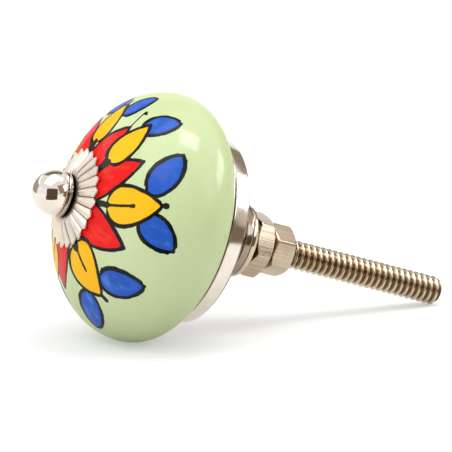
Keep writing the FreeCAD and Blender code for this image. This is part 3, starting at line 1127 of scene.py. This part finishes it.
def flat_sheet(name, corners, where, turn):
    """Four-sided sheet of the stage, with a material that is still to be joined up."""
    mesh = bpy.data.meshes.new(name)
    mesh.from_pydata(corners, [], [(0, 1, 2, 3)])
    sheet = linked(name, mesh)
    sheet.matrix_world = Matrix.Translation(where) @ turn.to_4x4()
    material, tree, shader = new_material(name)
    material.node_tree.nodes.remove(shader)
    mesh.materials.append(material)
    return sheet, tree, material.node_tree.nodes["Material Output"].inputs["Surface"]


def glossy_card(name, corners, where, turn, shade):
    """Flat card that only the gloss of the knob sees."""
    card, tree, surface = flat_sheet(name, corners, where, turn)
    glow = tree.add("Emission")
    tree.feed(glow.inputs["Color"], shade)
    tree.feed(surface, glow.outputs[0])
    card.visible_camera = False
    card.visible_diffuse = False
    card.visible_shadow = False


def add_card(stage, name, swing, rise, distance, width, height, shade):
    """Upright card turned to the knob."""
    half_w, half_h = width / 2, height / 2
    corners = [(-half_w, -half_h, 0), (half_w, -half_h, 0), (half_w, half_h, 0),
               (-half_w, half_h, 0)]
    where = around(stage, swing, rise, distance)
    glossy_card(name, corners, where, facing(stage, where, Vector((0, 0, 0))), shade)


def add_floor_card(stage, name, corners, shade):
    """Card that lies just above the floor."""
    turn = floor_turn(stage)
    lift = turn @ Vector((0, 0, 0.5 * MM - stage.floor_drop))
    glossy_card(name, [(x * MM, y * MM, 0) for x, y in corners], lift, turn, shade)


def seen_share(tree):
    """1 for rays of the camera, of gloss and of glass, and 0 for soft light."""
    rays = tree.add("LightPath")
    return tree.math("MAXIMUM", rays.outputs["Is Camera Ray"],
                     tree.math("MAXIMUM", rays.outputs["Is Glossy Ray"],
                               rays.outputs["Is Transmission Ray"]))


def add_floor(stage):
    """White floor, seen only from above, which keeps the knob's shadow."""
    half = 1.2
    corners = [(-half, -half, 0), (half, -half, 0), (half, half, 0), (-half, half, 0)]
    turn = floor_turn(stage)
    where = turn @ Vector((0, 0, -stage.floor_drop))
    tree, surface = flat_sheet("floor", corners, where, turn)[1:]
    matt = tree.add("BsdfDiffuse")
    tree.feed(matt.inputs["Color"], (0.62, 0.62, 0.615))
    glow = tree.add("Emission")
    tree.feed(glow.inputs["Color"], (1.0, 1.0, 0.995))
    # The glow rises away from the knob, so that the far floor meets the white room
    away = tree.add("VectorMath", operation="LENGTH")
    tree.feed(away.inputs[0], tree.add("TexCoord").outputs["Object"])
    lift = tree.remap(away.outputs["Value"], 0.12, 0.45, 0.38, 0.47)
    tree.feed(glow.inputs["Strength"], tree.math("MULTIPLY", seen_share(tree), lift))
    both = tree.add("AddShader")
    tree.feed(both.inputs[0], matt.outputs[0])
    tree.feed(both.inputs[1], glow.outputs[0])
    below = tree.add("NewGeometry").outputs["Backfacing"]
    clear = tree.add("BsdfTransparent").outputs[0]
    tree.feed(surface, tree.choose(below, both.outputs[0], clear))


def set_world(stage):
    """White to the camera and in gloss; plain soft light on matt surfaces."""
    world = bpy.data.worlds.new("white_room")
    bpy.context.scene.world = world
    world.use_nodes = True
    tree = Tree(world.node_tree)
    nodes = world.node_tree.nodes
    backdrop = nodes["Background"]
    tree.feed(backdrop.inputs["Color"], (1.0, 1.0, 1.0))
    light = tree.add("Background")
    tree.feed(light.inputs["Color"], (1.0, 0.995, 0.985))
    tree.feed(light.inputs["Strength"], stage.surround)
    tree.feed(nodes["World Output"].inputs["Surface"],
              tree.choose(seen_share(tree), light.outputs[0], backdrop.outputs[0]))


def add_camera(stage):
    """Camera at the photograph's viewing angle."""
    data = bpy.data.cameras.new("camera")
    data.lens = stage.camera_lens
    data.sensor_width = 36.0
    data.clip_start = 0.01
    data.clip_end = 10.0
    camera = linked("camera", data)
    target = Vector([part * MM for part in PICTURE_MIDDLE])
    where = target + around(stage, math.degrees(stage.camera_swing),
                            math.degrees(stage.camera_rise), stage.camera_distance)
    turn = facing(stage, where, target) @ Matrix.Rotation(stage.camera_roll, 3, "Z")
    camera.matrix_world = Matrix.Translation(where) @ turn.to_4x4()
    bpy.context.scene.camera = camera


# Operators

class KNOB_OT_ceramic(Operator):
    """Build the glazed bun with its painted motif"""

    bl_idname = "knob.ceramic"
    bl_label = "Painted bun"

    def execute(self, context):
        make_ceramic(context.scene.knob_sizes, context.scene.knob_paint)
        return {"FINISHED"}


class KNOB_OT_ball(Operator):
    """Build the polished ball in front of the bun"""

    bl_idname = "knob.ball"
    bl_label = "Polished ball"

    def execute(self, context):
        make_ball(context.scene.knob_sizes, context.scene.knob_metal)
        return {"FINISHED"}


class KNOB_OT_fluted_washer(Operator):
    """Build the fluted flower washer under the ball"""

    bl_idname = "knob.fluted_washer"
    bl_label = "Flower washer"

    def execute(self, context):
        make_fluted_washer(context.scene.knob_sizes, context.scene.knob_metal)
        return {"FINISHED"}


class KNOB_OT_turned_base(Operator):
    """Build the turned base and the domed washer behind it"""

    bl_idname = "knob.turned_base"
    bl_label = "Turned base"

    def execute(self, context):
        make_base(context.scene.knob_metal)
        make_collar(context.scene.knob_metal)
        return {"FINISHED"}


class KNOB_OT_nuts(Operator):
    """Build the two hexagonal nuts"""

    bl_idname = "knob.nuts"
    bl_label = "Nuts"

    def execute(self, context):
        make_nuts(context.scene.knob_sizes, context.scene.knob_metal)
        return {"FINISHED"}


class KNOB_OT_rod(Operator):
    """Build the threaded rod"""

    bl_idname = "knob.rod"
    bl_label = "Threaded rod"

    def execute(self, context):
        make_rod(context.scene.knob_sizes, context.scene.knob_metal)
        return {"FINISHED"}


class KNOB_OT_stage(Operator):
    """Set up the floor, the light, the cards that the metal mirrors, and the camera"""

    bl_idname = "knob.stage"
    bl_label = "Stage"

    def execute(self, context):
        stage = context.scene.knob_stage
        context.scene.view_settings.view_transform = "Standard"
        set_world(stage)
        add_floor(stage)
        for name, *settings in SOFT_BOXES:
            add_soft_box(stage, name, *settings)
        for name, *settings in CARDS:
            add_card(stage, name, *settings)
        for name, corners, shade in FLOOR_CARDS:
            add_floor_card(stage, name, corners, shade)
        add_camera(stage)
        return {"FINISHED"}


class KNOB_PT_panel(Panel):
    """Lists the steps that build the knob."""

    bl_label = "Knob"
    bl_idname = "KNOB_PT_panel"
    bl_space_type = "VIEW_3D"
    bl_region_type = "UI"
    bl_category = "Knob"

    def draw(self, context):
        column = self.layout.column(align=True)
        for step in STEPS:
            column.operator(step.bl_idname)
        for name in SETTINGS:
            group = getattr(context.scene, name)
            box = self.layout.box()
            for key in group.bl_rna.properties.keys():
                if key not in ("rna_type", "name"):
                    box.prop(group, key)


SETTINGS = {
    "knob_sizes": KnobSizes,
    "knob_paint": KnobPaint,
    "knob_metal": KnobMetal,
    "knob_stage": KnobStage,
}
STEPS = (
    KNOB_OT_ceramic,
    KNOB_OT_ball,
    KNOB_OT_fluted_washer,
    KNOB_OT_turned_base,
    KNOB_OT_nuts,
    KNOB_OT_rod,
    KNOB_OT_stage,
)


def register():
    for group in SETTINGS.values():
        bpy.utils.register_class(group)
    for step in STEPS:
        bpy.utils.register_class(step)
    bpy.utils.register_class(KNOB_PT_panel)
    for name, group in SETTINGS.items():
        setattr(bpy.types.Scene, name, PointerProperty(type=group))


def unregister():
    for name in SETTINGS:
        delattr(bpy.types.Scene, name)
    bpy.utils.unregister_class(KNOB_PT_panel)
    for step in reversed(STEPS):
        bpy.utils.unregister_class(step)
    for group in SETTINGS.values():
        bpy.utils.unregister_class(group)


def main():
    register()
    bpy.ops.knob.ceramic()
    bpy.ops.knob.ball()
    bpy.ops.knob.fluted_washer()
    bpy.ops.knob.turned_base()
    bpy.ops.knob.nuts()
    bpy.ops.knob.rod()
    bpy.ops.knob.stage()


if __name__ == "__main__":
    main()
